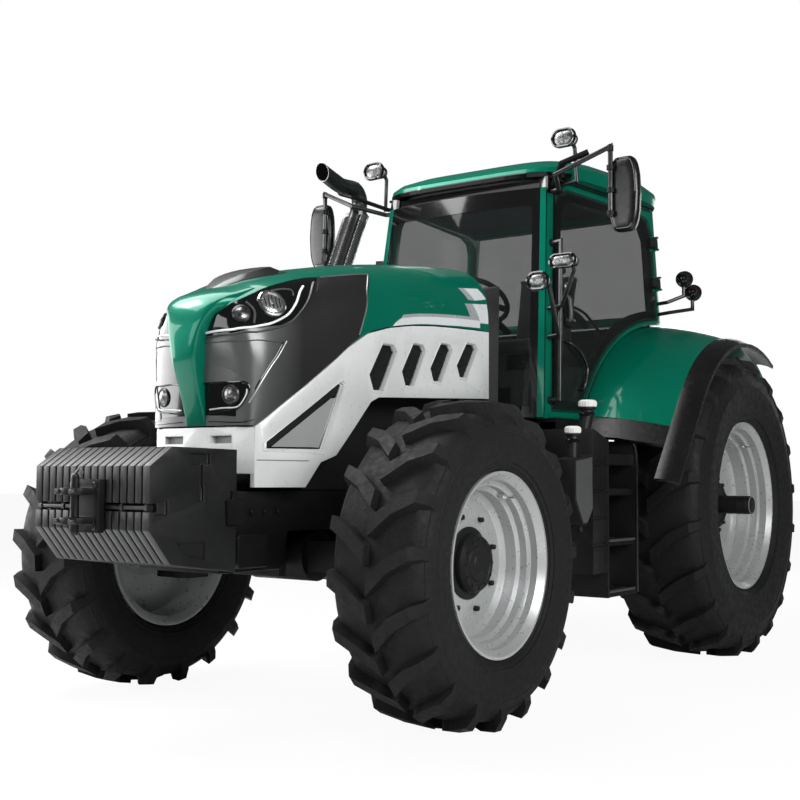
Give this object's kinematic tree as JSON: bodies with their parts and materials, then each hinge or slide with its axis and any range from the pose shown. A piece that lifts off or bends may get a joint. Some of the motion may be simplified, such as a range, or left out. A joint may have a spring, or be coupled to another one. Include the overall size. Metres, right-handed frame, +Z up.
{
  "type": "farm tractor",
  "caption": "Four-wheel-drive farm tractor with glazed cab, sloping hinged hood, steered front wheels, front ballast, side steps and a rear three-point linkage.",
  "frame": {"origin": "centre of the tractor's box in plan, on the ground", "axes": "+X forward along the tractor, +Y to the driver's left, +Z up"},
  "size_m": [5.4999, 2.7, 3.1583],
  "materials": {
    "green_paint": "gloss",
    "silver_paint": "satin",
    "black_casting": "satin",
    "black_plastic": "matte",
    "dark_panel": "gloss",
    "tyre_rubber": "matte",
    "rim_paint": "satin",
    "steel": "brushed",
    "tinted_glass": "gloss",
    "lamp_glass": "gloss",
    "seat_fabric": "matte",
    "black_tube": "satin"
  },
  "bodies": {
    "chassis": {"engine_block": "black_casting", "front_frame": "black_casting", "transmission": "black_casting", "rear_axle_housing": "black_casting", "front_axle_beam": "black_casting", "front_weights": "black_casting", "tow_jaw": "black_casting", "side_panels": "silver_paint", "front_bumper": "silver_paint", "side_grilles": "black_plastic", "cab_floor": "black_plastic", "cab_frame": "green_paint", "cab_roof": "green_paint", "cab_glass": "tinted_glass", "seat": "seat_fabric", "steering_column": "black_plastic", "fenders": "green_paint", "fender_flares": "black_plastic", "fuel_tank": "black_plastic", "access_steps": "black_plastic", "right_box": "black_plastic", "exhaust_stack": "steel", "exhaust_shield": "black_tube", "mirror_arms": "black_tube", "mirror_heads": "black_plastic", "work_lamps": "black_plastic", "lamp_stalks": "black_tube", "grab_rails": "black_tube", "rear_hitch": "black_casting"},
    "hood": {"hood_top": "green_paint", "hood_cheeks": "dark_panel", "headlamps": "lamp_glass"},
    "door": {"door_frame": "black_plastic", "door_glass": "tinted_glass"},
    "steer_left": {"knuckle_left": "black_casting"},
    "steer_right": {"knuckle_right": "black_casting"},
    "wheel_front_left": {"tyre_front_left": "tyre_rubber", "rim_front_left": "rim_paint"},
    "wheel_front_right": {"tyre_front_right": "tyre_rubber", "rim_front_right": "rim_paint"},
    "wheel_rear_left": {"tyre_rear_left": "tyre_rubber", "rim_rear_left": "rim_paint"},
    "wheel_rear_right": {"tyre_rear_right": "tyre_rubber", "rim_rear_right": "rim_paint"},
    "links": {"lower_links": "black_casting"},
    "arms": {"lift_arms": "black_casting"},
    "rods": {"lift_rods": "steel"}
  },
  "joints": [
    {"name": "hood_hinge", "type": "hinge", "parent": "chassis", "child": "hood", "pos_m": [0.132, 0, 2.235], "axis": [0, -1, 0], "range_deg": [0, 50]},
    {"name": "door_hinge", "type": "hinge", "parent": "chassis", "child": "door", "pos_m": [-1.48393, 0.74713, 2.5336], "axis": [-0.0076, -0.0693, 0.9976], "range_deg": [0, 70]},
    {"name": "steer_left_pin", "type": "hinge", "parent": "chassis", "child": "steer_left", "pos_m": [1.35, 0.82, 0.733], "axis": [0, 0, 1], "range_deg": [-40, 40]},
    {"name": "steer_right_pin", "type": "hinge", "parent": "chassis", "child": "steer_right", "pos_m": [1.35, -0.82, 0.733], "axis": [0, 0, 1], "range_deg": [-40, 40]},
    {"name": "spin_front_left", "type": "hinge", "parent": "steer_left", "child": "wheel_front_left", "pos_m": [1.35, 1.02, 0.733], "axis": [0, 1, 0], "continuous": true},
    {"name": "spin_front_right", "type": "hinge", "parent": "steer_right", "child": "wheel_front_right", "pos_m": [1.35, -1.02, 0.733], "axis": [0, 1, 0], "continuous": true},
    {"name": "spin_rear_left", "type": "hinge", "parent": "chassis", "child": "wheel_rear_left", "pos_m": [-1.55, 1.045, 0.951], "axis": [0, 1, 0], "continuous": true},
    {"name": "spin_rear_right", "type": "hinge", "parent": "chassis", "child": "wheel_rear_right", "pos_m": [-1.55, -1.045, 0.951], "axis": [0, 1, 0], "continuous": true},
    {"name": "links_lift", "type": "hinge", "parent": "chassis", "child": "links", "pos_m": [-1.78, 0, 0.56], "axis": [0, 1, 0], "range_deg": [-15, 30]},
    {"name": "arms_lift", "type": "hinge", "parent": "chassis", "child": "arms", "pos_m": [-1.78, 0, 1.16], "axis": [0, 1, 0], "range_deg": [-15, 30]},
    {"name": "rods_swing", "type": "hinge", "parent": "links", "child": "rods", "pos_m": [-2.25, 0, 0.56], "axis": [0, 1, 0], "range_deg": [-30, 15]}
  ],
  "couplings": [
    {"joint": "steer_right_pin", "follows": "steer_left_pin", "ratio": 1},
    {"joint": "arms_lift", "follows": "links_lift", "ratio": 1},
    {"joint": "rods_swing", "follows": "links_lift", "ratio": -1}
  ]
}
